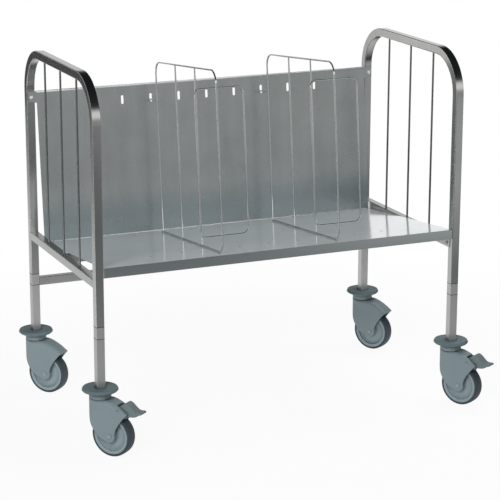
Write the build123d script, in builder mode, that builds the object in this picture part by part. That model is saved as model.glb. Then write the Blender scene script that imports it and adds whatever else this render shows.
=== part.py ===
from build123d import *
import math
import os

# Food service trolley: two square-tube hoops on four swivel casters carry a shelf that
# falls gently to the rear, a leaning back panel and two lift-out wire dividers.
# Millimetres and degrees. X runs along the trolley, Y to the rear, Z up from the floor.

# ---- frame -------------------------------------------------------------------------------
tube_size = 25.0            # outside of every square tube
tube_wall = 1.5
tube_corner = 2.5           # outside corner radius of the tube
post_spacing_x = 1125.0     # between post centres, along the trolley
post_spacing_y = 595.0      # between post centres, front to rear
hoop_height = 1077.0        # floor to the top of the hoops
bend_radius = 120.0         # of the hoops, to the middle of the tube
rail_top = 508.0            # floor to the top of the side rails
rear_tube_top = 361.5       # floor to the top of the low rear cross tube
joint_top = 374.0           # upper seam in each post
joint_height = 34.5         # between the two seams in each post
spigot_reach = 30.0         # how far the inner spigot goes into each tube
spigot_clearance = 0.2
seam_chamfer = 0.6
wire_size = 6.0             # upright wires of the hoops
wire_pitch = 142.0
foot_height = 193.0         # floor to the foot of the posts

# ---- shelf and back panel ----------------------------------------------------------------
shelf_slope = 6.0           # the shelf falls to the rear, the panel leans back as much
sheet = 1.2
shelf_end_clearance = 0.5   # shelf end to post or rail
fold_y = 236.0              # line where shelf and panel meet
flange_height = 29.0        # front edge of the shelf
flange_return = 12.0
sheet_gap = 0.05            # between sheets that lie on each other
panel_height = 455.0
panel_end_clearance = 4.0
panel_foot = 22.0           # strip of the panel that runs under the shelf
hem_depth = 12.0
hem_drop = 8.0
ear_height = 30.0           # screwed ears at the panel's top corners
ear_reach = 22.0            # past the inner face of the posts
ear_slant = 4.0             # how much the ears deepen from the post to the panel
ear_screw_share = 0.55      # screw's place down the ear's height
slot_count = 9
slot_pitch = 92.0
slot_width = 8.0
slot_height = 27.0
slot_middle = 411.0         # up the panel from the fold
peg_hole = 8.0              # round holes in the shelf for the dividers' pegs
rear_peg = 55.0             # along the shelf from the fold
front_peg = 440.0
screw_shank = 5.0
screw_head = 11.0
screw_head_height = 3.0
screw_length = 16.0
screw_clearance = 0.2
bracket_sheet = 1.5         # brackets under the shelf's front corners
bracket_width = 34.0
bracket_tab = 16.0
bracket_y = -279.0
bracket_screw_z = 497.0

# ---- dividers ----------------------------------------------------------------------------
divider_wire = 5.0
divider_top = 522.0         # up from the shelf, to the middle of the wire
divider_front = 530.0       # along the shelf from the fold, to the middle of the wire
divider_bars = (218.0, 372.0)
top_corner = 35.0
front_foot_corner = 28.0
peg_length = 10.0           # under the shelf's top face
front_peg_size = 4.5        # the front peg is a little thinner than the wire
wire_gap = 0.05             # between wires that are welded side by side
rest_gap = 0.3              # between a divider's wire and the shelf
loop_width = 152.0
loop_low = 26.0             # up from the shelf
loop_high = 459.0
loop_corner = 20.0
hook_height = 406.0
hook_tail = 20.0            # turned down behind the panel
hook_bend = 5.0
hook_behind = 7.0           # middle of the tail behind the panel's front face
divider_slots = {"left": -2, "right": 2}    # slots counted from the middle one

# ---- casters -----------------------------------------------------------------------------
wheel_diameter = 125.0
wheel_width = 36.0
trail = 43.0                # swivel axis to axle
tyre_thickness = 8.0
hub_gap = 0.05
axle_diameter = 10.0
axle_head = 14.0
axle_head_height = 1.0
running_clearance = 0.05    # radial, on pins that turn
fixed_clearance = 0.05      # radial, around pins that do not turn
cheek_gap = 0.3             # wheel boss to cheek
fork_inside = 40.0
fork_outside = 51.0
housing_top = 166.0
neck_radius = 31.5
neck_top = 178.0
nose = -28.0                # front of the hood, ahead of the swivel axis
nose_corner = 15.0
hood_tip = (101.0, 133.5)
roof_point = (70.0, 154.0)  # on the roof line, between the neck and the tip
roof_round = 9.0
hood_low = 20.0             # level under the whole hood
hood_shoulder = 132.0       # level where the cheeks start to spread out to the neck
hood_behind = 180.0         # past the whole hood to the rear
pin_bore_depth = 60.0       # of the kingpin's bores, down from the roof
swivel_gap = 0.4            # between the fixed neck and the swivelling housing
bumper_radius = 52.0
bumper_rim_z = 190.0        # widest level
bumper_top = 197.0
recess_gap = 2.0            # around the foot of the post
kingpin_diameter = 12.0
kingpin_head = 20.0
kingpin_head_height = 4.0
kingpin_bottom = 138.0
plug_length = 50.0
plug_corner = 2.0
wheel_well = 4.0            # around the tyre
pedal_width = 28.0
pedal_pin = 6.0
pedal_pivot = (72.0, 143.0)     # behind the swivel axis, above the floor
# direction in which each caster trails, from +X, and whether it has a brake
casters = {
    "front_left": (-1, -1, -52.0, True),
    "front_right": (1, -1, -60.0, True),
    "rear_left": (-1, 1, -50.0, False),
    "rear_right": (1, 1, -57.0, False),
}

# ---- worked out from the sizes above -----------------------------------------------------
half_tube = tube_size / 2
screw_hole = screw_shank / 2 + screw_clearance
post_x = post_spacing_x / 2
post_y = post_spacing_y / 2
inner_x = post_x - half_tube
front_face = post_y + half_tube
joint_bottom = joint_top - joint_height
slope_sin = math.sin(math.radians(shelf_slope))
slope_cos = math.cos(math.radians(shelf_slope))
# the shelf's underside just clears the rear top edge of the middle cross tube
fold_z = rail_top + sheet_gap + sheet / slope_cos - slope_sin / slope_cos * (fold_y - half_tube)
wheel_radius = wheel_diameter / 2
shelf_half = inner_x - shelf_end_clearance
panel_half = inner_x - panel_end_clearance
divider_foot = rest_gap + divider_wire / 2
pieces = {}


def keep(name, part):
    """Label a finished piece and put it on the list of parts."""
    part.label = name
    pieces[name] = part


def shelf_point(along, up):
    """(Y, Z) of a point given along the shelf from the fold and up from its top face."""
    y = fold_y - along * slope_cos + up * slope_sin
    z = fold_z + along * slope_sin + up * slope_cos
    return (y, z)


def cross_plane(x):
    """The Y-Z plane at x, with local X to the rear and local Y up."""
    return Plane(origin=(x, 0, 0), x_dir=(0, 1, 0), z_dir=(1, 0, 0))


def shelf_plane(x=0.0, along=0.0, up=0.0):
    """Plane on the shelf: local X along the trolley, local Y to the rear."""
    y, z = shelf_point(along, up)
    return Plane(origin=(x, y, z), x_dir=(1, 0, 0), z_dir=(0, slope_sin, slope_cos))


def panel_plane(x=0.0, up=0.0, along=0.0):
    """Plane on the panel's front face: local Y up the panel, normal to the front."""
    y, z = shelf_point(along, up)
    return Plane(origin=(x, y, z), x_dir=(1, 0, 0), z_dir=(0, -slope_cos, slope_sin))


def tube_section():
    """Square tube section with rounded corners, drawn in the sketch that is open."""
    inside = tube_size - 2 * tube_wall
    RectangleRounded(tube_size, tube_size, tube_corner)
    RectangleRounded(inside, inside, tube_corner - tube_wall, mode=Mode.SUBTRACT)


# ---- frame pieces ------------------------------------------------------------------------
def square_tube(plane, length):
    with BuildPart() as tube:
        with BuildSketch(plane):
            tube_section()
        extrude(amount=length)
    return tube.part


def ear_screw_plane(side):
    """Seat of the screw that holds a panel ear to the rear post."""
    return panel_plane(side * post_x, panel_height - ear_height * ear_screw_share)


def hoop(side):
    x = side * post_x
    top = hoop_height - half_tube
    with BuildPart() as bent_tube:
        with BuildLine(cross_plane(x)):
            FilletPolyline(
                (-post_y, joint_top), (-post_y, top), (post_y, top), (post_y, joint_top),
                radius=bend_radius,
            )
        with BuildSketch(Plane(origin=(x, -post_y, joint_top))):
            tube_section()
        sweep()
        with Locations(ear_screw_plane(side)):
            Hole(screw_hole, screw_length)
    return bent_tube.part


def leg(x, y):
    return square_tube(Plane(origin=(x, y, foot_height)), joint_bottom - foot_height)


def post_places():
    return [(sx * post_x, sy * post_y) for sx in (-1, 1) for sy in (-1, 1)]


def joint_collars():
    """Short flush lengths of tube between the two seams of each post."""
    with BuildPart() as collars:
        with BuildSketch(Plane.XY.offset(joint_bottom)):
            with Locations(*post_places()):
                tube_section()
        extrude(amount=joint_height)
        rims = collars.faces().filter_by(Axis.Z).edges()
        outer = [e for e in rims if on_outside(e)]
        chamfer(outer, seam_chamfer)
    return collars.part


def on_outside(edge):
    """True for an edge on the outer skin of one of the posts."""
    middle = edge.center()
    dx = min(abs(abs(middle.X) - post_x + half_tube), abs(abs(middle.X) - post_x - half_tube))
    dy = min(abs(abs(middle.Y) - post_y + half_tube), abs(abs(middle.Y) - post_y - half_tube))
    return min(dx, dy) < tube_corner / 2


def leg_spigots():
    """Inner square tubes that line up the leg, the collar and the hoop."""
    outside = tube_size - 2 * tube_wall - 2 * spigot_clearance
    with BuildPart() as spigots:
        with BuildSketch(Plane.XY.offset(joint_bottom - spigot_reach)):
            with Locations(*post_places()):
                RectangleRounded(outside, outside, tube_wall)
                Rectangle(outside - 2 * tube_wall, outside - 2 * tube_wall, mode=Mode.SUBTRACT)
        extrude(amount=joint_height + 2 * spigot_reach)
    return spigots.part


def side_rail(side):
    start = Plane(
        origin=(side * post_x, -post_y + half_tube, rail_top - half_tube),
        x_dir=(1, 0, 0), z_dir=(0, 1, 0),
    )
    with BuildPart() as rail:
        with BuildSketch(start):
            tube_section()
        extrude(amount=post_spacing_y - tube_size)
        with Locations(bracket_screw_plane(side)):
            Hole(screw_hole, 2 * bracket_sheet + tube_wall)
    return rail.part


def cross_tube(y, top):
    start = Plane(origin=(-inner_x, y, top - half_tube), x_dir=(0, 1, 0), z_dir=(1, 0, 0))
    return square_tube(start, 2 * inner_x)


def hoop_wires(side):
    with BuildPart() as wires:
        with BuildSketch(Plane.XY.offset(rail_top)):
            with Locations((side * post_x, 0)):
                with GridLocations(0, wire_pitch, 1, 3):
                    Circle(wire_size / 2)
        extrude(amount=hoop_height - tube_size - rail_top)
    return wires.part


# ---- shelf and panel ---------------------------------------------------------------------
def bracket_screw_plane(side):
    """Seat of the screw that holds a shelf bracket against the side rail."""
    seat = inner_x - sheet_gap - bracket_sheet
    return Plane(
        origin=(side * seat, bracket_y, bracket_screw_z), x_dir=(0, 1, 0), z_dir=(-side, 0, 0)
    )


def shelf_bracket(side):
    """Plate on the side rail with a tab bent in under the shelf's front corner."""
    outer = side * (inner_x - sheet_gap)
    under = -sheet - sheet_gap
    front = (fold_y - bracket_y + bracket_width / 2) / slope_cos
    rear = (fold_y - bracket_y - bracket_width / 2) / slope_cos
    front_top = shelf_point(front, under)
    rear_top = shelf_point(rear, under)
    low = rail_top - tube_size + tube_corner
    with BuildPart() as bracket:
        with BuildSketch(cross_plane(outer)):
            with BuildLine():
                Polyline(
                    front_top, rear_top, (rear_top[0], low), (front_top[0], low), close=True
                )
            make_face()
        extrude(amount=-side * bracket_sheet)
        with BuildSketch(cross_plane(outer)):
            with BuildLine():
                Polyline(
                    front_top, rear_top,
                    (rear_top[0], rear_top[1] - bracket_sheet),
                    (front_top[0], front_top[1] - bracket_sheet),
                    close=True,
                )
            make_face()
        extrude(amount=-side * bracket_tab)
        with Locations(bracket_screw_plane(side)):
            Hole(screw_hole, 2 * bracket_sheet)
    return bracket.part


def shelf():
    """Sheet that falls to the rear, with a front flange turned down and in."""
    rear_top = shelf_point(sheet_gap, 0)
    rear_under = shelf_point(sheet_gap, -sheet)
    slope = slope_sin / slope_cos
    front_z = fold_z + (fold_y + front_face) * slope
    under_z = front_z - sheet / slope_cos - sheet * slope
    low = front_z - flange_height
    with BuildPart() as tray:
        with BuildSketch(cross_plane(-shelf_half)):
            with BuildLine():
                Polyline(
                    rear_top,
                    (-front_face, front_z),
                    (-front_face, low),
                    (-front_face + flange_return, low),
                    (-front_face + flange_return, low + sheet),
                    (-front_face + sheet, low + sheet),
                    (-front_face + sheet, under_z),
                    rear_under,
                    close=True,
                )
            make_face()
        extrude(amount=2 * shelf_half)
        peg_middle = (rear_peg + front_peg) / 2
        with BuildSketch(shelf_plane(along=peg_middle)):
            with GridLocations(slot_pitch, front_peg - rear_peg, slot_count, 2):
                Circle(peg_hole / 2)
        extrude(amount=-2 * sheet, mode=Mode.SUBTRACT)
    return tray.part


def back_panel():
    """Leaning sheet with slots, a folded top hem, a foot under the shelf and two ears."""
    foot_up = -sheet - sheet_gap
    ear_out = inner_x + ear_reach
    ear_low = panel_height - ear_height
    with BuildPart() as panel:
        with BuildSketch(panel_plane()):
            with BuildLine():
                Polyline(
                    (-panel_half, foot_up - sheet),
                    (panel_half, foot_up - sheet),
                    (panel_half, ear_low - ear_slant),
                    (ear_out, ear_low),
                    (ear_out, panel_height),
                    (-ear_out, panel_height),
                    (-ear_out, ear_low),
                    (-panel_half, ear_low - ear_slant),
                    close=True,
                )
            make_face()
            with Locations((0, slot_middle)):
                with GridLocations(slot_pitch, 0, slot_count, 1):
                    SlotOverall(slot_height, slot_width, rotation=90, mode=Mode.SUBTRACT)
        extrude(amount=-sheet)
        with BuildSketch(cross_plane(-panel_half)):
            with BuildLine():
                Polyline(
                    shelf_point(-sheet, panel_height),
                    shelf_point(-hem_depth, panel_height),
                    shelf_point(-hem_depth, panel_height - hem_drop),
                    shelf_point(-hem_depth + sheet, panel_height - hem_drop),
                    shelf_point(-hem_depth + sheet, panel_height - sheet),
                    shelf_point(-sheet, panel_height - sheet),
                    close=True,
                )
            make_face()
            with BuildLine():
                Polyline(
                    shelf_point(0, foot_up),
                    shelf_point(panel_foot, foot_up),
                    shelf_point(panel_foot, foot_up - sheet),
                    shelf_point(0, foot_up - sheet),
                    close=True,
                )
            make_face()
        extrude(amount=2 * panel_half)
        with Locations(ear_screw_plane(-1), ear_screw_plane(1)):
            Hole(screw_hole, 2 * sheet)
    return panel.part


def dome_screw(plane):
    """Dome-headed screw with its head's seat on the given plane."""
    with BuildPart() as screw:
        with BuildSketch(plane.offset(sheet_gap)):
            Circle(screw_head / 2)
        extrude(amount=screw_head_height)
        chamfer(screw.faces().sort_by(plane_axis(plane))[-1].edges(), screw_head_height / 2)
        with BuildSketch(plane.offset(sheet_gap)):
            Circle(screw_shank / 2)
        extrude(amount=-screw_length + screw_head_height)
    return screw.part


def plane_axis(plane):
    """Axis along a plane's normal, for sorting faces."""
    return Axis(plane.origin, plane.z_dir)


def screw_pair(left, right):
    return Part(children=[dome_screw(left), dome_screw(right)])


# ---- dividers ----------------------------------------------------------------------------
def divider_path_plane(x):
    """Plane of a divider: local X along the shelf to the front, local Y up."""
    y, z = shelf_point(0, 0)
    return Plane(
        origin=(x, y, z),
        x_dir=(0, -slope_cos, slope_sin),
        z_dir=(-1, 0, 0),
    )


def divider_frame(x):
    """Bent wire: bottom, front, top and a rear upright that ends in the rear peg."""
    plane = divider_path_plane(x)
    weld_gap = divider_wire / 2 + wire_gap
    with BuildPart() as wire:
        with BuildLine(plane) as route:
            lower = Line(
                (rear_peg + weld_gap, divider_foot),
                (divider_front - front_foot_corner, divider_foot),
            )
            foot_bend = JernArc(lower @ 1, lower % 1, front_foot_corner, 90)
            front = Line(foot_bend @ 1, (divider_front, divider_top - top_corner))
            front_bend = JernArc(front @ 1, front % 1, top_corner, 90)
            top = Line(front_bend @ 1, (rear_peg + top_corner, divider_top))
            rear_bend = JernArc(top @ 1, top % 1, top_corner, 90)
            Line(rear_bend @ 1, (rear_peg, -peg_length))
        with BuildSketch(Plane(origin=route.line @ 0, z_dir=route.line % 0)):
            Circle(divider_wire / 2)
        sweep()
        with BuildSketch(shelf_plane(x, front_peg, divider_foot - divider_wire / 4)):
            Circle(front_peg_size / 2)
        extrude(amount=-peg_length - divider_foot)
    return wire.part


def divider_bars_part(x):
    """Two straight uprights between the bottom wire and the top wire."""
    radius = divider_wire / 2
    low = divider_foot + radius + wire_gap
    high = divider_top - radius - wire_gap
    with BuildPart() as bars:
        for along in divider_bars:
            with BuildSketch(shelf_plane(x, along, low)):
                Circle(radius)
            extrude(amount=high - low)
    return bars.part


def divider_loop(x):
    """Rounded wire frame welded across the front bar, parallel to the back panel."""
    along = divider_bars[1] + divider_wire + wire_gap
    middle_x = x - divider_wire + loop_width / 2
    middle_up = (loop_low + loop_high) / 2
    plane = panel_plane(middle_x, middle_up, along)
    with BuildPart() as loop:
        with BuildSketch(plane, mode=Mode.PRIVATE) as outline:
            RectangleRounded(loop_width, loop_high - loop_low, loop_corner)
        route = outline.sketch.face().outer_wire()
        with BuildSketch(Plane(origin=route @ 0, z_dir=route % 0)):
            Circle(divider_wire / 2)
        sweep(path=route)
    return loop.part


def divider_hook(x):
    """Wire hook through a panel slot, with its tail turned down behind the panel."""
    plane = divider_path_plane(x)
    start = rear_peg - divider_wire / 2 - wire_gap
    with BuildPart() as hook:
        with BuildLine(plane) as route:
            FilletPolyline(
                (start, hook_height),
                (-hook_behind, hook_height),
                (-hook_behind, hook_height - hook_tail),
                radius=hook_bend,
            )
        with BuildSketch(Plane(origin=route.line @ 0, z_dir=route.line % 0)):
            Circle(divider_wire / 2)
        sweep()
    return hook.part


# ---- caster pieces, in the caster's own frame: X to the trailing side, Z up from the floor --
def bumper():
    """Soft round buffer disc with a square recess that takes the foot of the post."""
    bore = kingpin_diameter / 2 + fixed_clearance
    recess = tube_size + 2 * recess_gap
    with BuildPart() as disc:
        with BuildSketch(Plane.XZ):
            with BuildLine():
                Polyline(
                    (bore, neck_top), (neck_radius + 1.5, neck_top),
                    (bumper_radius - 3, bumper_rim_z - 4), (bumper_radius, bumper_rim_z - 1),
                    (bumper_radius, bumper_rim_z + 1), (bumper_radius - 2.5, bumper_top - 1),
                    (bumper_radius - 6, bumper_top), (bumper_radius - 12, bumper_top - 1),
                    (bore, bumper_top - 1), close=True,
                )
            make_face()
        revolve(axis=Axis.Z)
        rim = disc.edges().filter_by(GeomType.CIRCLE).filter_by(
            lambda e: e.radius > bumper_radius - 5
        )
        fillet(rim, 0.8)
        with BuildSketch(Plane.XY.offset(foot_height)):
            RectangleRounded(recess, recess, tube_corner)
        extrude(amount=bumper_top - foot_height, mode=Mode.SUBTRACT)
    return disc.part


def neck():
    """Fixed ring above the swivelling housing."""
    low = housing_top + swivel_gap
    with BuildPart() as ring:
        with BuildSketch(Plane.XY.offset(low)):
            Circle(neck_radius)
            Circle(kingpin_diameter / 2 + fixed_clearance, mode=Mode.SUBTRACT)
        extrude(amount=neck_top - low)
        chamfer(ring.faces().sort_by(Axis.Z)[0].outer_wire().edges(), 1.0)
    return ring.part


def stem():
    """Kingpin with a headed foot, and the square plug that grips inside the post."""
    plug = tube_size - 2 * tube_wall - 2 * spigot_clearance
    with BuildPart() as pin:
        with BuildSketch(Plane.XY.offset(kingpin_bottom)):
            Circle(kingpin_head / 2)
        extrude(amount=kingpin_head_height)
        with BuildSketch(Plane.XY.offset(kingpin_bottom)):
            Circle(kingpin_diameter / 2)
        extrude(amount=foot_height + sheet_gap - kingpin_bottom)
        with BuildSketch(Plane.XY.offset(foot_height + sheet_gap)):
            RectangleRounded(plug, plug, plug_corner)
        extrude(amount=plug_length)
    return pin.part


def hood_side():
    """Side outline of the hood: nose, sloping roof, pointed tip and tongue to the axle."""
    axle_z = wheel_radius
    with BuildLine() as outline:
        back = Line((-neck_radius, housing_top), (neck_radius, housing_top))
        roof = Spline(back @ 1, roof_point, hood_tip, tangents=[(1, -0.1), (1, -0.85)])
        under = Spline(
            roof @ 1, (74, 102), (trail + 17, axle_z + 7), tangents=[(-1, -0.8), (-0.1, -1)]
        )
        toe = ThreePointArc(
            under @ 1, (trail + 11, axle_z - 13.5), (trail - 6, axle_z - 16.5)
        )
        shin = Spline(toe @ 1, (4, 61), (-15, 86), (-26, 122), tangents=[toe % 1, (-0.1, 1)])
        Spline(shin @ 1, back @ 0, tangents=[(-0.1, 1), (-0.15, 1)])
    make_face(outline.line)


def hood_plan(nose, half, corner):
    """Plan outline of the hood at one level: blunt nose and cheeks that draw in behind it."""
    fork = fork_outside / 2
    with BuildLine() as outline:
        right = TangentArc((nose + corner, half), (nose, half - corner), tangent=(-1, 0))
        front = Line(right @ 1, (nose, corner - half))
        left = TangentArc(front @ 1, (nose + corner, -half), tangent=(0, -1))
        Polyline(
            left @ 1, (neck_radius * 2, -fork), (hood_behind, -fork), (hood_behind, fork),
            (neck_radius * 2, fork), right @ 0,
        )
    make_face(outline.line)


def housing(braked):
    """Moulded hood that swivels about the kingpin and carries the wheel between its cheeks."""
    axle_z = wheel_radius
    fork = fork_outside / 2
    with BuildPart() as hood:
        with BuildSketch(Plane.XY.offset(hood_low)):
            hood_plan(nose, fork, nose_corner)
        with BuildSketch(Plane.XY.offset(hood_shoulder)):
            hood_plan(nose, fork, nose_corner)
        with BuildSketch(Plane.XY.offset(housing_top)):
            hood_plan(-neck_radius, neck_radius, neck_radius - 0.5)
        loft(ruled=True)
        with BuildSketch(Plane.XZ.offset(-neck_radius)):
            hood_side()
        extrude(amount=2 * neck_radius, mode=Mode.INTERSECT)
        roof = hood.faces().sort_by_distance((roof_point[0], 0, roof_point[1]))[0]
        sides = roof.edges().filter_by(lambda e: abs(e.center().Y) > fork_inside / 2)
        fillet(sides, roof_round)
        # room for the wheel, and the hollow under the roof
        with BuildSketch(Plane.XZ.offset(-fork_inside / 2)):
            with Locations((trail, axle_z)):
                Circle(wheel_radius + wheel_well)
            with BuildLine():
                Polyline(
                    (trail - 14, axle_z), (trail - 14, 147), (55, 150), (72, 145),
                    (92, 132), (140, 105), (140, axle_z), close=True,
                )
            make_face()
        extrude(amount=fork_inside, mode=Mode.SUBTRACT)
        if braked:
            with BuildSketch(Plane.XZ.offset(-pedal_width / 2 - 1)):
                with BuildLine():
                    Polyline((65, 120), (65, 175), (140, 175), (140, 120), close=True)
                make_face()
            extrude(amount=pedal_width + 2, mode=Mode.SUBTRACT)
            with BuildSketch(Plane.XZ.offset(-fork_outside / 2)):
                with Locations(pedal_pivot):
                    Circle(pedal_pin / 2 + running_clearance)
            extrude(amount=fork_outside, mode=Mode.SUBTRACT)
        # bores for the axle, the kingpin and its head
        with BuildSketch(Plane.XZ.offset(-fork_outside / 2)):
            with Locations((trail, axle_z)):
                Circle(axle_diameter / 2 + fixed_clearance)
        extrude(amount=fork_outside, mode=Mode.SUBTRACT)
        with BuildSketch(Plane.XY.offset(housing_top)):
            Circle(kingpin_diameter / 2 + running_clearance)
        extrude(amount=-pin_bore_depth, mode=Mode.SUBTRACT)
        head_room = kingpin_bottom + kingpin_head_height + swivel_gap
        with BuildSketch(Plane.XY.offset(head_room)):
            Circle(kingpin_head / 2 + swivel_gap)
        extrude(amount=-pin_bore_depth, mode=Mode.SUBTRACT)
    return hood.part


def axle():
    """Axle through both cheeks, with a flat round head at each end."""
    reach = fork_outside / 2 + sheet_gap
    with BuildPart() as pin:
        with BuildSketch(Plane.XZ.offset(-reach)):
            with Locations((trail, wheel_radius)):
                Circle(axle_diameter / 2)
        extrude(amount=2 * reach)
        for end in (-reach, reach):
            with BuildSketch(Plane.XZ.offset(end)):
                with Locations((trail, wheel_radius)):
                    Circle(axle_head / 2)
            extrude(amount=math.copysign(axle_head_height, end))
    return pin.part


def wheel_profile_plane():
    """Half-section plane through the axle: local X is the radius, local Y across the wheel."""
    return Plane(origin=(trail, 0, wheel_radius), x_dir=(0, 0, 1), z_dir=(1, 0, 0))


def hub():
    """Moulded wheel centre: rim, dished web and a boss that runs on the axle."""
    rim = wheel_radius - tyre_thickness - hub_gap
    half_boss = fork_inside / 2 - cheek_gap
    half_rim = wheel_width / 2 - 1.5
    bore = axle_diameter / 2 + running_clearance
    with BuildPart() as wheel:
        with BuildSketch(wheel_profile_plane()):
            with BuildLine():
                Polyline(
                    (bore, half_boss), (15, half_boss), (17, half_rim - 7), (41, half_rim - 8.5),
                    (44.5, half_rim - 6), (46, half_rim - 0.8), (47.5, half_rim), (rim, half_rim),
                    (rim, -half_rim), (47.5, -half_rim), (46, -half_rim + 0.8),
                    (44.5, -half_rim + 6), (41, -half_rim + 8.5), (17, -half_rim + 7),
                    (15, -half_boss),
                    (bore, -half_boss), close=True,
                )
            make_face()
        revolve(axis=Axis((trail, 0, wheel_radius), (0, 1, 0)))
    return wheel.part


def tyre():
    """Soft tyre with a slightly crowned tread."""
    inner = wheel_radius - tyre_thickness
    half = wheel_width / 2
    with BuildPart() as band:
        with BuildSketch(wheel_profile_plane()):
            with BuildLine():
                side = Line((inner, half - 1.5), (inner, -half + 1.5))
                low = Line(side @ 1, (wheel_radius - 5, -half))
                shoulder = ThreePointArc(
                    low @ 1, (wheel_radius - 1.8, -half + 2.2), (wheel_radius - 0.6, -half + 7)
                )
                tread = ThreePointArc(
                    shoulder @ 1, (wheel_radius, 0), (wheel_radius - 0.6, half - 7)
                )
                far = ThreePointArc(
                    tread @ 1, (wheel_radius - 1.8, half - 2.2), (wheel_radius - 5, half)
                )
                Line(far @ 1, side @ 0)
            make_face()
        revolve(axis=Axis((trail, 0, wheel_radius), (0, 1, 0)))
    return band.part


def brake_pedal():
    """Foot lever between the cheeks, with a shoe above the tyre and its own pivot pin."""
    pivot_x, pivot_z = pedal_pivot
    with BuildPart() as lever:
        with BuildSketch(Plane.XZ.offset(-pedal_width / 2)):
            with BuildLine():
                hump = Spline(
                    (pivot_x - 4, pivot_z + 5), (80, 158.5), (91, 165.5), (106, 159),
                    (118, 148.5), (127, 144.5),
                    tangents=[(0.3, 1), (1, -0.2)],
                )
                tongue = Line(hump @ 1, (140, 145))
                end = ThreePointArc(tongue @ 1, (143.2, 141.8), (139.5, 138.8))
                sole = Spline(end @ 1, (127, 132), (108, 127.5), tangents=[(-1, -0.3), (-1, -0.05)])
                Polyline(
                    sole @ 1, (92, 126), (90, 118.5), (82, 118.5), (80, 129),
                    (pivot_x - 4, pivot_z - 7), hump @ 0,
                )
            make_face()
        extrude(amount=pedal_width)
        with BuildSketch(Plane.XZ.offset(-fork_outside / 2)):
            with Locations(pedal_pivot):
                Circle(pedal_pin / 2)
        extrude(amount=fork_outside)
    return lever.part


# ---- build every piece -------------------------------------------------------------------
for side_name, side_sign in (("left", -1), ("right", 1)):
    keep(f"{side_name}_hoop", hoop(side_sign))
    keep(f"{side_name}_side_rail", side_rail(side_sign))
    keep(f"{side_name}_hoop_wires", hoop_wires(side_sign))
    divider_x = divider_slots[side_name] * slot_pitch
    keep(f"{side_name}_divider_frame", divider_frame(divider_x))
    keep(f"{side_name}_divider_bars", divider_bars_part(divider_x))
    keep(f"{side_name}_divider_loop", divider_loop(divider_x))
    keep(f"{side_name}_divider_hook", divider_hook(divider_x))

keep("joint_collars", joint_collars())
keep("leg_spigots", leg_spigots())
keep("middle_cross_tube", cross_tube(0, rail_top))
keep("rear_cross_tube", cross_tube(post_y, rear_tube_top))
keep("shelf", shelf())
keep("back_panel", back_panel())
keep("panel_screws", screw_pair(ear_screw_plane(-1), ear_screw_plane(1)))
keep("shelf_brackets", Part(children=[shelf_bracket(-1), shelf_bracket(1)]))
keep("bracket_screws", screw_pair(bracket_screw_plane(-1), bracket_screw_plane(1)))

for corner, (corner_x, corner_y, angle, braked) in casters.items():
    place = Location((corner_x * post_x, corner_y * post_y, 0), (0, 0, angle))
    upright = Location((corner_x * post_x, corner_y * post_y, 0))
    keep(f"{corner}_leg", leg(corner_x * post_x, corner_y * post_y))
    keep(f"{corner}_bumper", bumper().moved(upright))
    keep(f"{corner}_neck", neck().moved(upright))
    keep(f"{corner}_stem", stem().moved(upright))
    keep(f"{corner}_housing", housing(braked).moved(place))
    keep(f"{corner}_axle", axle().moved(place))
    keep(f"{corner}_hub", hub().moved(place))
    keep(f"{corner}_tyre", tyre().moved(place))
    if braked:
        keep(f"{corner}_brake_pedal", brake_pedal().moved(place))

# the origin is on the floor, below the middle of the whole outline
boxes = [piece.bounding_box() for piece in pieces.values()]
centre_x = round((min(b.min.X for b in boxes) + max(b.max.X for b in boxes)) / 2)
centre_y = round((min(b.min.Y for b in boxes) + max(b.max.Y for b in boxes)) / 2)

os.makedirs("parts", exist_ok=True)
for name, piece in pieces.items():
    placed = piece.moved(Location((-centre_x, -centre_y, 0)))
    placed.label = name
    export_step(placed, f"parts/{name}.step")
print("pieces", len(pieces), "origin moved to", centre_x, centre_y)
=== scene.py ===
"""Looks, light and camera for the food service trolley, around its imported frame."""
import math

import bmesh
import bpy
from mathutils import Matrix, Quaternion, Vector


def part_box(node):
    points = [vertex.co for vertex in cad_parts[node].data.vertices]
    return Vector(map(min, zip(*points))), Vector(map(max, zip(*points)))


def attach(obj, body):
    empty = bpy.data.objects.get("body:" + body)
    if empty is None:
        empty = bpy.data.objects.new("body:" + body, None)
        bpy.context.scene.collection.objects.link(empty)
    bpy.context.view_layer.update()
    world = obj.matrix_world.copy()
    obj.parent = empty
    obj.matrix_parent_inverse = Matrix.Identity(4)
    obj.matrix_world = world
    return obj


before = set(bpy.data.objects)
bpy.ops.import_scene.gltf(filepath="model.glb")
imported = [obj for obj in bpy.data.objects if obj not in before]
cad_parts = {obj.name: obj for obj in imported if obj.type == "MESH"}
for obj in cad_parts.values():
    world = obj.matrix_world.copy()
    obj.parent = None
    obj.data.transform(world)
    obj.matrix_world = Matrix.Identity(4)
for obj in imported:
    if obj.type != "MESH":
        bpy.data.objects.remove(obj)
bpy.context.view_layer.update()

bl_info = {
    "name": "Food service trolley",
    "version": (1, 0, 0),
    "blender": (4, 5, 0),
    "location": "3D View > Sidebar > Trolley",
    "description": "Dresses the trolley's frame with its real finishes and sets the studio",
    "category": "Object",
}

MM = 0.001
CORNERS = ("front_left", "front_right", "rear_left", "rear_right")
SIDES = ("left", "right")

# sizes of the sheet and tube that the added pieces follow
SHEET = 1.2 * MM
SHELF_SLOPE = math.radians(6.0)
STRIP_END_GAP = 4 * MM          # from the shelf's end to the end of a strip
HEM_DEPTH = 12 * MM
HEM_ROLL = 3.2 * MM             # radius of the hem's rear edge
HEM_INSET = 1.0 * MM
TUBE_CORNER = 2.5 * MM
SEAM_HEIGHT = 1.5 * MM
SEAM_WALL = 0.4 * MM
SEAM_PROUD = 0.08 * MM          # past the face of the leg

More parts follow.
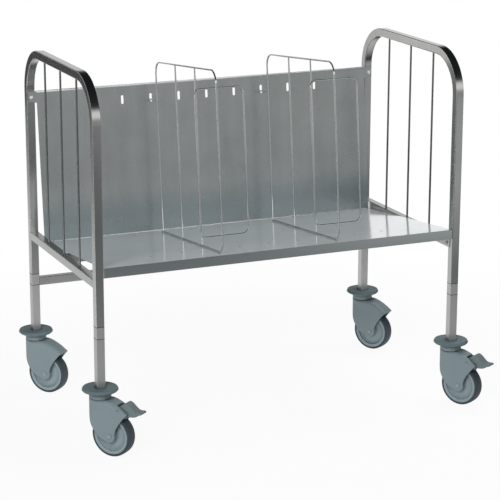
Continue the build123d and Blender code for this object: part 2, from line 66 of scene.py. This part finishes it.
# sizes of the finishes
CLOUD_MM = 90.0                 # slow change of tone over a sheet or tube
BAND_MM = 45.0                  # streaks along the grain
SHEET_BEND = 1.2 * MM           # how round an edge of sheet or tube looks
MOULDED_EDGE = 1.5 * MM
NOOK = 14 * MM                  # how near faces shade each other
PAINTED_REFLECTION_FULL = 50 * MM             # above the fold, the panel's darker foot, a painted reflection of the shelf, is full up to here
# above the fold, the painted reflection of the shelf has faded out by here
PAINTED_REFLECTION_GONE = 150 * MM

CAMERA_TURN = (23.605, 15.076, -0.155)      # yaw to the right, pitch down, roll, in degrees
CAMERA_PLACE = (-2292.0, -5229.4, 2007.8)   # millimetres
FLOOR_SIZE = 9.5
SMOOTH = {"interpolation_type": "SMOOTHSTEP"}


# ---- small helpers -----------------------------------------------------------------------
def linear(hex_colour):
    """Linear RGBA of an sRGB colour written as six hex digits."""
    parts = [int(hex_colour[i:i + 2], 16) / 255 for i in (0, 2, 4)]
    return [c / 12.92 if c <= 0.04045 else ((c + 0.055) / 1.055) ** 2.4 for c in parts] + [1.0]


def to_hex(colour):
    """Six hex digits of a colour property, which Blender keeps as linear values."""
    back = [12.92 * c if c <= 0.0031308 else 1.055 * c ** (1 / 2.4) - 0.055 for c in colour[:3]]
    return "".join(f"{round(max(0, min(1, c)) * 255):02x}" for c in back)


def add(tree, kind, sets=(), links=()):
    """Add a node, set its fields, sockets or ramp stops, and link outputs into its sockets."""
    node = tree.nodes.new(kind)
    for name, value in dict(sets).items():
        if name == "stops":
            elements = node.color_ramp.elements
            while len(elements) < len(value):
                elements.new(0.5)
            for element, (place, shade) in zip(elements, value):
                element.position = place
                element.color = linear(shade)
        elif isinstance(name, str) and name not in node.inputs:
            setattr(node, name, value)
        else:
            node.inputs[name].default_value = value
    for socket, output in dict(links).items():
        tree.links.new(output, node.inputs[socket])
    return node


def new_material(name):
    """Empty node material with its output, ready for a shader."""
    material = bpy.data.materials.new(name)
    material.use_nodes = True
    tree = material.node_tree
    tree.nodes.clear()
    return material, tree, add(tree, "ShaderNodeOutputMaterial")


def dress(names, material):
    """Give CAD nodes one finish in place of their packed colour."""
    for name in names:
        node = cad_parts[name]
        node.data.materials.clear()
        node.data.materials.append(material)


def grains(tree, *patterns):
    """Patterns in the object's own space, each from (millimetres across, stretch)."""
    space = add(tree, "ShaderNodeTexCoord").outputs["Object"]
    found = []
    for across, stretch in patterns:
        mapping = add(tree, "ShaderNodeMapping", {"Scale": stretch}, {"Vector": space})
        found.append(add(
            tree, "ShaderNodeTexNoise",
            {"Scale": 1000.0 / across, "Detail": 2.0, "Roughness": 0.55},
            {"Vector": mapping.outputs["Vector"]},
        ).outputs["Fac"])
    return found


def soft_area(tree, *edges):
    """Area with soft edges: the product of smooth steps, each from (output, none, full)."""
    area = None
    for source, none, full in edges:
        step = add(
            tree, "ShaderNodeMapRange", SMOOTH | {"From Min": none, "From Max": full},
            {"Value": source},
        ).outputs["Result"]
        area = step if area is None else add(
            tree, "ShaderNodeMath", {"operation": "MULTIPLY"}, {0: area, 1: step}).outputs[0]
    return area


# ---- finishes ----------------------------------------------------------------------------
def stainless(name, dark, light, roughness, grain=(1, 1, 1), grain_mm=1.2, bump=0.02,
              share=1.0, upright=None, foot=None):
    """304 stainless steel: a grey metal whose fine polishing lines spread its highlights."""
    material, tree, output = new_material(name)
    streaks = tuple(0.04 if g < 1 else 1.0 for g in grain)
    lines, clouds, bands = grains(
        tree, (grain_mm, grain), (CLOUD_MM, (1, 1, 1)), (BAND_MM, streaks))
    half = add(tree, "ShaderNodeMapRange", {"To Min": 0.0, "To Max": 0.5}, {"Value": bands})
    mixed = add(tree, "ShaderNodeMath", {"operation": "MULTIPLY_ADD", 1: 0.5}, {
        0: clouds, 2: half.outputs["Result"]})
    cover = add(
        tree, "ShaderNodeMath",
        {"operation": "MULTIPLY_ADD", "use_clamp": True, 1: 2.2, 2: -0.6},
        {0: mixed.outputs[0]},
    )
    surface = add(tree, "ShaderNodeMix", {
        "data_type": "RGBA", 6: linear(dark), 7: linear(light)}, {0: cover.outputs[0]}).outputs[2]
    if foot:
        # painted reflection: the darker foot stands for the shelf that the sheet mirrors there
        shade, dark_to, clear_from = foot
        place = add(tree, "ShaderNodeSeparateXYZ", links={
            0: add(tree, "ShaderNodeTexCoord").outputs["Object"]})
        surface = add(tree, "ShaderNodeMix", {"data_type": "RGBA", 6: linear(shade)}, {
            0: soft_area(tree, (place.outputs["Z"], dark_to, clear_from)), 7: surface,
        }).outputs[2]
    spread = add(tree, "ShaderNodeMath", {
        "operation": "MULTIPLY_ADD", 1: roughness * 0.5, 2: roughness * 0.75}, {0: lines})
    # folds and tube corners are never knife-sharp
    rounded = add(tree, "ShaderNodeBevel", {"samples": 4, "Radius": SHEET_BEND})
    relief = add(
        tree, "ShaderNodeBump", {"Strength": bump, "Distance": 0.2 * MM},
        {"Height": lines, "Normal": rounded.outputs["Normal"]},
    )
    shader = add(
        tree, "ShaderNodeBsdfPrincipled", {"Metallic": share},
        {"Base Color": surface, "Roughness": spread.outputs[0],
         "Normal": relief.outputs["Normal"]},
    )
    if upright:
        # painted light: upright faces are all metal in a darker tone of their own, while level
        # faces keep the lighter colour and only the given share of metal, which keeps them light
        facing = add(tree, "ShaderNodeSeparateXYZ", links={
            0: add(tree, "ShaderNodeNewGeometry").outputs["True Normal"]})
        level = add(tree, "ShaderNodeMath", {"operation": "ABSOLUTE"}, {
            0: facing.outputs["Z"]})
        flat = add(tree, "ShaderNodeMath", {"operation": "GREATER_THAN", 1: 0.7}, {
            0: level.outputs[0]})
        both = add(tree, "ShaderNodeMix", {"data_type": "RGBA", 6: linear(upright)}, {
            0: flat.outputs[0], 7: surface})
        metal = add(tree, "ShaderNodeMapRange", {"To Min": 1.0, "To Max": share}, {
            "Value": flat.outputs[0]})
        tree.links.new(both.outputs[2], shader.inputs["Base Color"])
        tree.links.new(metal.outputs["Result"], shader.inputs["Metallic"])
    tree.links.new(shader.outputs["BSDF"], output.inputs["Surface"])
    return material


def moulded(name, base, shade, roughness, grain_mm=0.8, bump=0.05):
    """Moulded plastic or rubber: a flat-toned skin with a fine spark-eroded grain."""
    material, tree, output = new_material(name)
    grain, clouds = grains(tree, (grain_mm, (1, 1, 1)), (BAND_MM, (1, 1, 1)))
    tone = add(tree, "ShaderNodeMix", {
        "data_type": "RGBA", 6: linear(shade), 7: linear(base)}, {0: clouds})
    # painted shade gathers in the recesses
    nook = add(tree, "ShaderNodeAmbientOcclusion", {"samples": 4, "Distance": NOOK})
    open_share = add(tree, "ShaderNodeMapRange", {"To Min": 0.25, "To Max": 1.0}, {
        "Value": nook.outputs["AO"]})
    painted_recess_shade = add(tree, "ShaderNodeMix", {"data_type": "RGBA", 6: linear("1e2628")}, {
        0: open_share.outputs["Result"], 7: tone.outputs[2]})
    rounded = add(tree, "ShaderNodeBevel", {"samples": 4, "Radius": MOULDED_EDGE})
    relief = add(
        tree, "ShaderNodeBump", {"Strength": bump, "Distance": 0.3 * MM},
        {"Height": grain, "Normal": rounded.outputs["Normal"]},
    )
    spread = add(
        tree, "ShaderNodeMapRange",
        {"To Min": roughness - 0.06, "To Max": roughness + 0.06}, {"Value": grain},
    )
    shader = add(
        tree, "ShaderNodeBsdfPrincipled", {"IOR": 1.5},
        {"Base Color": painted_recess_shade.outputs[2], "Normal": relief.outputs["Normal"],
         "Roughness": spread.outputs["Result"]},
    )
    tree.links.new(shader.outputs["BSDF"], output.inputs["Surface"])
    return material


# ---- settings ----------------------------------------------------------------------------
def colour(name, words, value):
    return bpy.props.FloatVectorProperty(
        name=name, description=words, subtype="COLOR", size=3, min=0, max=1,
        default=linear(value)[:3],
    )


class TrolleyFinish(bpy.types.PropertyGroup):
    """Colours of the trolley's materials."""

    tube: colour("Tube", "Polished square tube of the hoops and rails", "cfcdca")
    sheet: colour("Sheet", "Sheet of the shelf", "ecf0f2")
    wire: colour("Wire", "Bright drawn wire", "ececec")
    hood: colour("Caster hood", "Moulded nylon of the caster hoods", "8b9a9f")
    wheel: colour("Wheel centre", "Moulded nylon of the wheel centres", "98a8ad")
    bumper: colour("Bumper", "Rubber of the round bumpers", "6d7e83")
    pedal: colour("Pedal", "Moulded nylon of the brake pedals", "7a888a")
    tyre: colour("Tyre", "Rubber of the tyres", "414c52")
    bend: bpy.props.FloatProperty(
        name="Inner bend", description="Inner bend radius of the sheet, in millimetres",
        default=2.2, min=0.5, max=8,
    )


class TrolleyStudio(bpy.types.PropertyGroup):
    """Light and camera."""

    key_power: bpy.props.FloatProperty(
        name="Key light", description="Power of the large soft light", default=150.0,
        min=0, unit="POWER",
    )
    top_power: bpy.props.FloatProperty(
        name="Top light", description="Power of the soft light overhead", default=45.0,
        min=0, unit="POWER",
    )
    lens: bpy.props.FloatProperty(
        name="Lens", description="Focal length of the camera in millimetres",
        default=141.58, min=10,
    )


# ---- pieces ------------------------------------------------------------------------------
def added_piece(name, form, material):
    """Finish a bmesh as a piece of its own that rides on the frame."""
    bmesh.ops.recalc_face_normals(form, faces=form.faces)
    mesh = bpy.data.meshes.new(name)
    form.to_mesh(mesh)
    form.free()
    piece = bpy.data.objects.new(name, mesh)
    piece.data.materials.append(material)
    bpy.context.scene.collection.objects.link(piece)
    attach(piece, "frame")


def strip(name, profile, x_low, x_high, material):
    """Long thin piece of sheet: a closed (y, z) profile in metres drawn out along X."""
    form = bmesh.new()
    ends = [[form.verts.new((x, y, z)) for y, z in profile] for x in (x_low, x_high)]
    count = len(profile)
    for i in range(count):
        k = (i + 1) % count
        form.faces.new((ends[0][i], ends[0][k], ends[1][k], ends[1][i])).smooth = True
    form.faces.new(ends[0])
    form.faces.new(list(reversed(ends[1])))
    added_piece(name, form, material)


def square_ring(name, middle, half, material):
    """Thin square band with rounded corners around a post, for the seam of a joint."""
    outline = []
    for quarter in range(4):
        for step in range(5):
            turn = math.radians(90 * quarter + 22.5 * step)
            sx = 1 if quarter in (0, 3) else -1
            sy = 1 if quarter in (0, 1) else -1
            outline.append((
                sx * (half - TUBE_CORNER) + TUBE_CORNER * math.cos(turn),
                sy * (half - TUBE_CORNER) + TUBE_CORNER * math.sin(turn),
            ))
    inside = 1 - SEAM_WALL / half
    form = bmesh.new()
    loops = [
        [form.verts.new((middle.x + x * scale, middle.y + y * scale, middle.z + level))
         for x, y in outline]
        for scale, level in ((1, 0), (1, SEAM_HEIGHT), (inside, SEAM_HEIGHT), (inside, 0))
    ]
    count = len(outline)
    for a in range(4):
        one, two = loops[a], loops[(a + 1) % 4]
        for i in range(count):
            k = (i + 1) % count
            form.faces.new((one[i], one[k], two[k], two[i]))
    added_piece(name, form, material)


class TROLLEY_OT_tubes(bpy.types.Operator):
    """Finish the hoops, legs, rails and cross tubes as stainless square tube"""

    bl_idname = "trolley.tubes"
    bl_label = "Tube frame"

    def execute(self, context):
        light = to_hex(context.scene.trolley_finish.tube)
        # tube polished along its length: highlights run up the posts and flash on the bends
        polished = stainless("Polished_stainless_tube", "c2c2c0", light, 0.2, (1, 1, 0.06))
        # the same tube lying level: a little softer, with its lines along the rail
        level = stainless("Polished_stainless_rail", "c2c2c0", light, 0.24, (0.06, 0.06, 1))
        # satin tube below the joints: paler and almost without a mirror image
        satin = stainless("Satin_stainless_leg", "d3d0cf", "dad8d7", 0.42, (1, 1, 0.06))
        dress([f"{side}_hoop" for side in SIDES], polished)
        dress([f"{side}_side_rail" for side in SIDES], level)
        dress(["middle_cross_tube", "rear_cross_tube", "shelf_brackets"], level)
        dress([f"{corner}_leg" for corner in CORNERS], satin)
        dress(["joint_collars", "leg_spigots"], satin)
        return {"FINISHED"}


class TROLLEY_OT_seams(bpy.types.Operator):
    """Add the fine dark seams above and below the collar of each post"""

    bl_idname = "trolley.seams"
    bl_label = "Post seams"

    def execute(self, context):
        # bare cut ends of the tubes: a thin dark line around the post
        dark = stainless("Unpolished_stainless_seam", "2c2f30", "3a3d3e", 0.5)
        low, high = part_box("joint_collars")
        for corner in CORNERS:
            leg_low, leg_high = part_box(f"{corner}_leg")
            x, y = (leg_low.x + leg_high.x) / 2, (leg_low.y + leg_high.y) / 2
            half = (leg_high.x - leg_low.x) / 2 + SEAM_PROUD
            for end, z in (("lower", low.z), ("upper", high.z)):
                middle = Vector((x, y, z - SEAM_HEIGHT / 2))
                square_ring(f"{corner}_{end}_seam", middle, half, dark)
        return {"FINISHED"}


class TROLLEY_OT_sheets(bpy.types.Operator):
    """Finish the shelf and the back panel as stainless sheet"""

    bl_idname = "trolley.sheets"
    bl_label = "Shelf and back panel"

    def execute(self, context):
        light = to_hex(context.scene.trolley_finish.sheet)
        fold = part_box("shelf")[0].z
        # satin sheet with upright lines: an even grey that blurs what it mirrors
        panel = stainless(
            "Satin_stainless_panel_painted_reflection", "adb1b0", "bfc3c2", 0.3, (1, 1, 0.05), grain_mm=2.0,
            # painted reflection: a darker foot above the fold stands for the shelf that the panel
            # mirrors
            foot=("929c9f", fold + PAINTED_REFLECTION_FULL, fold + PAINTED_REFLECTION_GONE),
        )
        # polished sheet: a clear mirror image of the wires; painted light: its top is half plain
        # light paint rather than metal so that it stays light, and its upright faces take a darker
        # all-metal tone
        shelf = stainless(
            "Polished_stainless_shelf_painted_light", "e6eaec", light, 0.14, (0.05, 1, 1), grain_mm=2.0,
            bump=0.01, share=0.5, upright="d8dddc",
        )
        dress(["back_panel"], panel)
        dress(["shelf"], shelf)
        return {"FINISHED"}


class TROLLEY_OT_bends(bpy.types.Operator):
    """Add the rounded inner bend at the foot of the panel and the bare rear edge of its hem"""

    bl_idname = "trolley.bends"
    bl_label = "Sheet bends"

    def execute(self, context):
        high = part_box("back_panel")[1]
        shelf_low, shelf_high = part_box("shelf")
        x_low, x_high = shelf_low.x + STRIP_END_GAP, shelf_high.x - STRIP_END_GAP
        cos, sin = math.cos(SHELF_SLOPE), math.sin(SHELF_SLOPE)
        radius = context.scene.trolley_finish.bend * MM
        # painted highlight: the bent sheet is mostly plain light paint rather than metal, so that
        # it shows as a light line beside the satin faces
        bright = stainless(
            "Bent_stainless_fold_painted_highlight", "e8eaea", "f4f5f5", 0.2, (0.05, 1, 1), grain_mm=2.0, share=0.2)
        # inner bend: a hollow quarter round between the shelf's rear edge and the panel
        y, z = shelf_high.y, shelf_low.z + SHEET
        rise = [
            (radius * (1 - math.sin(a)), radius * (1 - math.cos(a)))
            for a in (math.radians(9 * i) for i in range(11))
        ]
        hollow = [(y - u * cos + v * sin, z + u * sin + v * cos) for u, v in rise]
        strip("shelf_fold_bend", [(y, z)] + hollow, x_low, x_high, bright)
        # rolled safe edge along the panel's top, in the same painted highlight
        y, z = high.y - HEM_DEPTH * cos + HEM_INSET, high.z - HEM_INSET
        ring = [
            (y + HEM_ROLL * math.cos(a), z + HEM_ROLL * math.sin(a))
            for a in (math.radians(18 * i) for i in range(20))
        ]
        strip("panel_rolled_edge", ring, x_low, x_high, bright)
        return {"FINISHED"}


class TROLLEY_OT_wires(bpy.types.Operator):
    """Finish the upright wires, the dividers and the screws"""

    bl_idname = "trolley.wires"
    bl_label = "Wires and screws"

    def execute(self, context):
        light = to_hex(context.scene.trolley_finish.wire)
        # bright drawn wire: smooth and light, with sharp glints
        bright = stainless(
            "Bright_drawn_wire", "dcdedd", light, 0.06, (1, 1, 0.1), grain_mm=0.8, bump=0.0)
        # painted shade: a darker tone on the hoop wires stands for the dark surroundings they
        # mirror; they are softer than the dividers
        painted_dark_wire = stainless(
            "Hoop_wire_painted_dark", "868a8a", "969a9a", 0.2, (1, 1, 0.1), grain_mm=0.8)
        # zinc-plated steel: a flat mid grey
        zinc = stainless("Zinc_plated_steel", "a3a6a8", "b9bcbe", 0.35, grain_mm=0.8)
        # polished screw heads with a painted highlight: mostly plain light paint rather than
        # metal, so that they show as small light dots on the ears
        painted_highlight_head = stainless("Polished_screw_head_painted_highlight", "f0f0f0", "f8f8f8", 0.2, grain_mm=0.8, share=0.3)
        dress([f"{side}_hoop_wires" for side in SIDES], painted_dark_wire)
        for side in SIDES:
            dress([f"{side}_divider_{part}" for part in ("frame", "bars", "loop", "hook")], bright)
        dress(["panel_screws"], painted_highlight_head)
        dress(["bracket_screws"] + [f"{corner}_stem" for corner in CORNERS], zinc)
        return {"FINISHED"}


class TROLLEY_OT_casters(bpy.types.Operator):
    """Finish the casters: nylon hoods and wheel centres, rubber tyres and bumpers"""

    bl_idname = "trolley.casters"
    bl_label = "Casters"

    def execute(self, context):
        finish = context.scene.trolley_finish
        # moulded nylon: a blue-grey skin with a broad soft sheen
        hood = moulded("Nylon_hood", to_hex(finish.hood), "859499", 0.42)
        # the same nylon, paler, so the rings of the wheel centre read
        wheel = moulded("Nylon_wheel_centre", to_hex(finish.wheel), "92a2a7", 0.4)
        # soft rubber: darker than the hood and nearly matt
        bumper = moulded("Rubber_bumper", to_hex(finish.bumper), "65757a", 0.5)
        # moulded nylon: a little darker and duller than the hood
        pedal = moulded("Nylon_pedal", to_hex(finish.pedal), "727f81", 0.45)
        # grey tyre rubber: the darkest part of the caster, matt
        tyre = moulded("Rubber_tyre", to_hex(finish.tyre), "3a454b", 0.5)
        for corner in CORNERS:
            dress([f"{corner}_housing", f"{corner}_neck"], hood)
            dress([f"{corner}_hub", f"{corner}_axle"], wheel)
            dress([f"{corner}_bumper"], bumper)
            dress([f"{corner}_tyre"], tyre)
            if f"{corner}_brake_pedal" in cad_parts:
                dress([f"{corner}_brake_pedal"], pedal)
        return {"FINISHED"}


# ---- studio ------------------------------------------------------------------------------
def white_for_sight(tree, shader, white):
    """Shader for light and reflections, with plain white for what the eye sees directly."""
    path = add(tree, "ShaderNodeLightPath")
    seen = add(tree, "ShaderNodeMath", {"operation": "MAXIMUM"}, {
        0: path.outputs["Is Camera Ray"], 1: path.outputs["Is Transmission Ray"]})
    return add(tree, "ShaderNodeMixShader", links={0: seen.outputs[0], 1: shader, 2: white})


def studio_world(scene):
    """Bright wall behind, dim ceiling, and a lit band low in front, as around a product."""
    world = bpy.data.worlds.new("Studio")
    scene.world = world
    world.use_nodes = True
    tree = world.node_tree
    tree.nodes.clear()
    output = add(tree, "ShaderNodeOutputWorld")
    space = add(tree, "ShaderNodeTexCoord")
    split = add(tree, "ShaderNodeSeparateXYZ", links={0: space.outputs["Generated"]})
    x, y, z = (split.outputs[axis] for axis in "XYZ")
    # how far round from the front horizon, over the ceiling, to the rear horizon: 0 to 1
    level = add(tree, "ShaderNodeMath", {"operation": "MAXIMUM", 1: 0.0}, {0: z})
    front = add(tree, "ShaderNodeMath", {"operation": "MULTIPLY", 1: -1.0}, {0: y})
    turn = add(tree, "ShaderNodeMath", {"operation": "ARCTAN2"}, {
        0: level.outputs[0], 1: front.outputs[0]})
    share = add(tree, "ShaderNodeMath", {"operation": "DIVIDE", 1: math.pi}, {
        0: turn.outputs[0]})
    tone = add(tree, "ShaderNodeValToRGB", {"stops": (
        (0.00, "9a9d9e"), (0.02, "a8abac"), (0.045, "ffffff"), (0.12, "ffffff"),
        (0.17, "232628"), (0.80, "1c2022"), (0.87, "5c6062"), (0.91, "b4b8ba"),
        (0.97, "ffffff"),
    )}, {"Fac": share.outputs[0]})
    rear = add(tree, "ShaderNodeMath", {"operation": "MAXIMUM", 1: 0.05}, {0: y})
    aside = add(tree, "ShaderNodeMath", {"operation": "DIVIDE"}, {
        0: x, 1: rear.outputs[0]}).outputs[0]
    # a dark card stands far behind on the left, low down
    card = soft_area(tree, (aside, -0.52, -0.44), (aside, -0.05, -0.20), (z, 0.15, 0.02))
    toned = add(tree, "ShaderNodeMix", {"data_type": "RGBA", 7: linear("080c0d")}, {
        0: card, 6: tone.outputs["Color"]})
    # a window stands behind on the right
    window = soft_area(tree, (aside, 0.30, 0.46), (z, 0.42, 0.30), (y, 0.30, 0.60))
    glow = add(tree, "ShaderNodeMath", {"operation": "MULTIPLY", 1: 0.5}, {0: window})
    lit = add(tree, "ShaderNodeMix", {"data_type": "RGBA", 7: (1, 1, 1, 1)}, {
        0: glow.outputs[0], 6: toned.outputs[2]})
    room = add(tree, "ShaderNodeBackground", {"Strength": 1.0}, {"Color": lit.outputs[2]})
    white = add(tree, "ShaderNodeBackground", {"Color": (1, 1, 1, 1), "Strength": 1.0})
    mixed = white_for_sight(tree, room.outputs[0], white.outputs[0])
    tree.links.new(mixed.outputs[0], output.inputs["Surface"])


def floor_material():
    """Pale floor: white to the eye with a faint shadow, and toned by place for the metal."""
    material, tree, output = new_material("Studio_floor")
    paint = add(tree, "ShaderNodeBsdfDiffuse", {"Color": (0.9, 0.9, 0.9, 1)})
    glow = add(tree, "ShaderNodeEmission", {"Color": (1, 1, 1, 1), "Strength": 1.0})
    place = add(tree, "ShaderNodeTexCoord").outputs["Object"]
    split = add(tree, "ShaderNodeSeparateXYZ", links={0: place})
    x, y = split.outputs["X"], split.outputs["Y"]
    # the shadow shows near the wheels and is gone before the floor's edge
    far = add(tree, "ShaderNodeVectorMath", {"operation": "LENGTH"}, {0: place})
    fade = add(
        tree, "ShaderNodeMapRange",
        SMOOTH | {"From Min": 0.7, "From Max": 2.0, "To Min": 0.93, "To Max": 1.0},
        {"Value": far.outputs["Value"]},
    )
    sight = add(tree, "ShaderNodeMixShader", links={
        0: fade.outputs["Result"], 1: paint.outputs[0], 2: glow.outputs[0]})
    # front to back, as the metal sees it
    depth = add(tree, "ShaderNodeMapRange", {"From Min": -8.0, "From Max": 4.0}, {"Value": y})
    tone = add(tree, "ShaderNodeValToRGB", {"stops": (
        (0.00, "a2a5a6"), (0.41, "5c5f61"), (0.48, "6a6d6f"), (0.56, "8e9193"),
        (0.63, "bbbdbe"), (0.71, "e6e8e8"), (1.00, "ffffff"),
    )}, {"Fac": depth.outputs["Result"]})
    # lighter to the right in front
    lifted = add(tree, "ShaderNodeMix", {"data_type": "RGBA", 7: linear("b6b9ba")}, {
        0: soft_area(tree, (x, 0.4, 1.8), (y, -1.6, -2.4)), 6: tone.outputs["Color"]})
    # dark to the far left behind
    across = add(tree, "ShaderNodeMapRange", {"From Min": -2.6, "From Max": -1.05}, {"Value": x})
    far_left = add(tree, "ShaderNodeValToRGB", {"stops": (
        (0.00, "101314"), (0.15, "202526"), (0.40, "84888a"), (0.65, "9a9ea0"),
        (0.90, "f0f2f2"),
    )}, {"Fac": across.outputs["Result"]})
    shaded = add(tree, "ShaderNodeMix", {"data_type": "RGBA", "blend_type": "MULTIPLY"}, {
        0: soft_area(tree, (y, -0.2, 0.9)), 6: lifted.outputs[2], 7: far_left.outputs["Color"]})
    # a white card lies on the left, which the wires and tube corners catch as a bright line
    carded = add(tree, "ShaderNodeMix", {"data_type": "RGBA", 7: (1.6, 1.6, 1.6, 1)}, {
        0: soft_area(tree, (x, -1.3, -1.7), (y, 0.1, -0.2), (y, -1.5, -1.1)),
        6: shaded.outputs[2]})
    # a dark card lies on the right, which gives round wires their dark side
    darkened = add(tree, "ShaderNodeMix", {"data_type": "RGBA", 7: linear("0c0f10")}, {
        0: soft_area(tree, (x, 1.0, 1.4), (y, 2.6, 1.8), (y, -1.9, -1.3)),
        6: carded.outputs[2]})
    pool = add(tree, "ShaderNodeEmission", {"Strength": 1.0}, {"Color": darkened.outputs[2]})
    mixed = white_for_sight(tree, pool.outputs[0], sight.outputs[0])
    tree.links.new(mixed.outputs[0], output.inputs["Surface"])
    return material


def soft_light(name, place, target, size, power):
    """Rectangular softbox that lights the object and isn't mirrored in it."""
    lamp = bpy.data.lights.new(name, "AREA")
    lamp.shape = "RECTANGLE"
    lamp.size, lamp.size_y = size
    lamp.energy = power
    lamp_object = bpy.data.objects.new(name, lamp)
    lamp_object.location = place
    aim = Vector(target) - Vector(place)
    lamp_object.rotation_euler = aim.to_track_quat("-Z", "Y").to_euler()
    lamp_object.visible_glossy = False
    bpy.context.scene.collection.objects.link(lamp_object)


class TROLLEY_OT_stage(bpy.types.Operator):
    """Set the pale floor, the soft lights, the room and the camera"""

    bl_idname = "trolley.stage"
    bl_label = "Studio and camera"

    def execute(self, context):
        scene = context.scene
        studio = scene.trolley_studio
        bpy.ops.mesh.primitive_plane_add(size=FLOOR_SIZE, location=(0, 0, 0))
        floor = context.object
        floor.name = "Studio_floor"
        floor.data.materials.append(floor_material())
        studio_world(scene)
        soft_light("Key_softbox", (-3.2, -3.4, 3.4), (0, 0, 0.5), (2.2, 2.2), studio.key_power)
        soft_light("Top_softbox", (1.6, 0.3, 3.0), (0.4, 0, 0.5), (2.0, 1.6), studio.top_power)
        camera = bpy.data.cameras.new("Camera")
        camera.sensor_width = 36
        camera.lens = studio.lens
        camera.clip_end = 100
        eye = bpy.data.objects.new("Camera", camera)
        yaw, pitch, roll = (math.radians(a) for a in CAMERA_TURN)
        look = Vector((
            math.sin(yaw) * math.cos(pitch), math.cos(yaw) * math.cos(pitch), -math.sin(pitch)
        ))
        eye.rotation_mode = "QUATERNION"
        eye.rotation_quaternion = look.to_track_quat("-Z", "Y") @ Quaternion((0, 0, 1), -roll)
        eye.location = Vector(CAMERA_PLACE) * MM
        scene.collection.objects.link(eye)
        scene.camera = eye
        scene.view_settings.view_transform = "Standard"
        return {"FINISHED"}


class TROLLEY_PT_panel(bpy.types.Panel):
    """Trolley tools in the 3D view's sidebar"""

    bl_label = "Food service trolley"
    bl_idname = "TROLLEY_PT_panel"
    bl_space_type = "VIEW_3D"
    bl_region_type = "UI"
    bl_category = "Trolley"

    def draw(self, context):
        layout = self.layout
        for group in (context.scene.trolley_finish, context.scene.trolley_studio):
            box = layout.box()
            for name in group.__annotations__:
                box.prop(group, name)
        for operator in STEPS:
            layout.operator(operator.bl_idname)


STEPS = (
    TROLLEY_OT_tubes, TROLLEY_OT_seams, TROLLEY_OT_sheets, TROLLEY_OT_bends, TROLLEY_OT_wires,
    TROLLEY_OT_casters, TROLLEY_OT_stage,
)
CLASSES = (TrolleyFinish, TrolleyStudio) + STEPS + (TROLLEY_PT_panel,)


def register():
    for item in CLASSES:
        bpy.utils.register_class(item)
    bpy.types.Scene.trolley_finish = bpy.props.PointerProperty(type=TrolleyFinish)
    bpy.types.Scene.trolley_studio = bpy.props.PointerProperty(type=TrolleyStudio)


def unregister():
    del bpy.types.Scene.trolley_studio
    del bpy.types.Scene.trolley_finish
    for item in reversed(CLASSES):
        bpy.utils.unregister_class(item)


def main():
    register()
    for step in STEPS:
        group, action = step.bl_idname.split(".")
        getattr(getattr(bpy.ops, group), action)()


if __name__ == "__main__":
    main()
